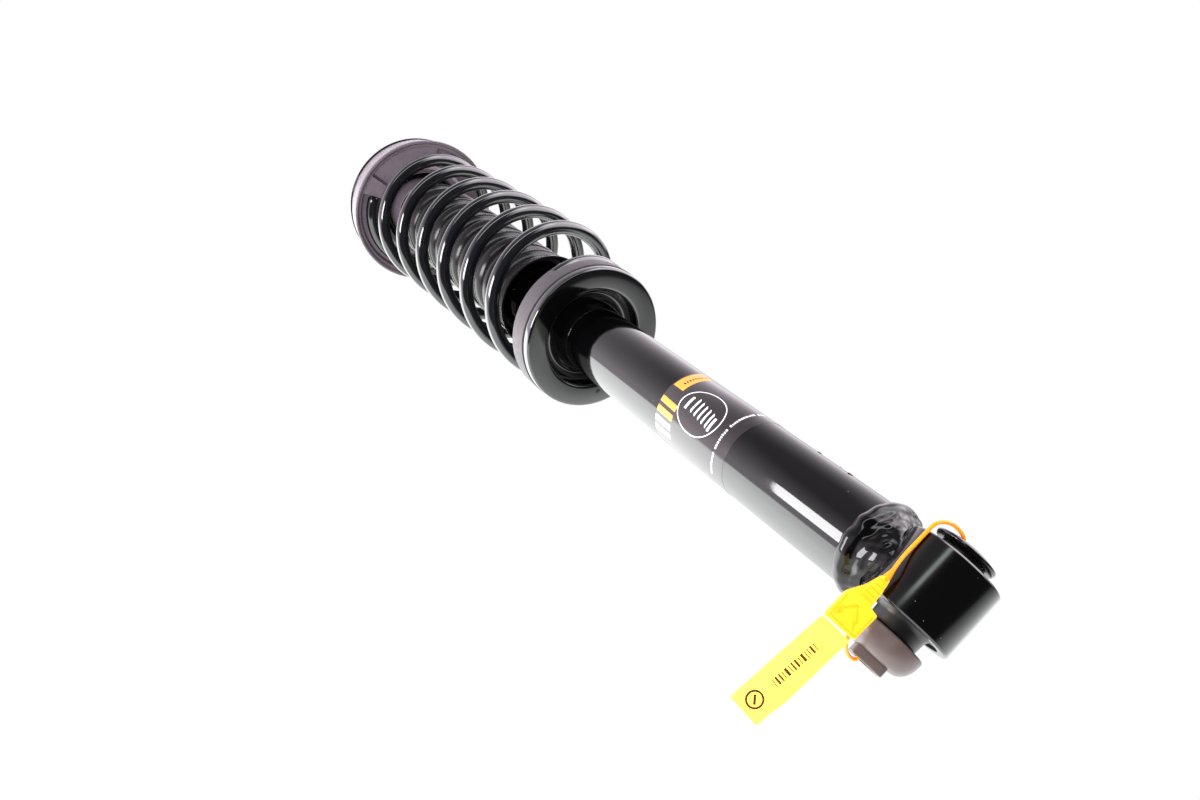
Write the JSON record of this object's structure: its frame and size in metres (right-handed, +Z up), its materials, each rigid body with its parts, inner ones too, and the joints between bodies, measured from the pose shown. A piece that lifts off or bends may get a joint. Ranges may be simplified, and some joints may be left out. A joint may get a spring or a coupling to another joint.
{
  "type": "coil-over suspension damper",
  "caption": "Coil-over suspension damper: sealed tube with a bushed lower eye, a coil spring between its seats, a ribbed dust boot and a studded top mount; the rod strokes and the bush twists.",
  "frame": {"origin": "centre of the lower eye, on the axis of its bolt", "axes": "+Z runs up the damper's centre line to the top mount; X is the axis of the lower bolt, with the square-ended side of the bush at -X; the numbered seal hangs off the -Y side"},
  "size_m": [0.173, 0.1394, 0.788],
  "materials": {
    "gloss_black_paint": "gloss",
    "satin_black_coat": "satin",
    "plain_steel": "machined",
    "hard_chrome": "polished",
    "black_rubber": "matte",
    "boot_rubber": "satin",
    "bump_foam": "microcellular foam",
    "bearing_bronze": "satin",
    "label_film": "clear gloss film over black paint",
    "yellow_seal": "semi-gloss"
  },
  "bodies": {
    "lower": {"base_cap": "plain_steel", "base_valve": "plain_steel", "base_valve_disc": "plain_steel", "base_valve_pin": "plain_steel", "bush_rubber": "black_rubber", "coil_spring": "gloss_black_paint", "guide_bush": "bearing_bronze", "label_band": "label_film", "lower_eye": "satin_black_coat", "lower_isolator": "black_rubber", "outer_tube": "gloss_black_paint", "pressure_tube": "plain_steel", "rod_guide": "plain_steel", "rod_seal": "black_rubber", "seal_flag": "yellow_seal", "seal_lock": "yellow_seal", "seal_strap": "yellow_seal", "seal_washer": "plain_steel", "spring_seat": "gloss_black_paint", "strike_cap": "gloss_black_paint", "weld_bead": "gloss_black_paint"},
    "bush": {"bush_sleeve": "satin_black_coat", "bush_washer": "satin_black_coat"},
    "upper": {"bump_cup": "plain_steel", "bump_stop": "bump_foam", "dust_boot": "boot_rubber", "mount_plate": "gloss_black_paint", "mount_rubber": "black_rubber", "mount_sleeve": "plain_steel", "mount_stud_1": "plain_steel", "mount_stud_2": "plain_steel", "mount_stud_3": "plain_steel", "piston": "plain_steel", "piston_band": "bearing_bronze", "piston_nut": "plain_steel", "piston_rod": "hard_chrome", "rebound_stop": "bearing_bronze", "rod_nut": "plain_steel", "rod_washer": "plain_steel", "shims_compression": "plain_steel", "shims_rebound": "plain_steel", "upper_isolator": "black_rubber"}
  },
  "joints": [
    {"name": "damper_stroke", "type": "slide", "parent": "lower", "child": "upper", "axis": [0, 0, -1], "range_m": [0, 0.15], "stiffness_N_per_m": 30000, "springref_m": -0.02, "deforming": ["coil_spring", "dust_boot", "bump_stop"]},
    {"name": "bush_twist", "type": "hinge", "parent": "lower", "child": "bush", "pos_m": [0, 0, 0], "axis": [1, 0, 0], "range_deg": [-15, 15], "stiffness_Nm_per_rad": 60}
  ]
}
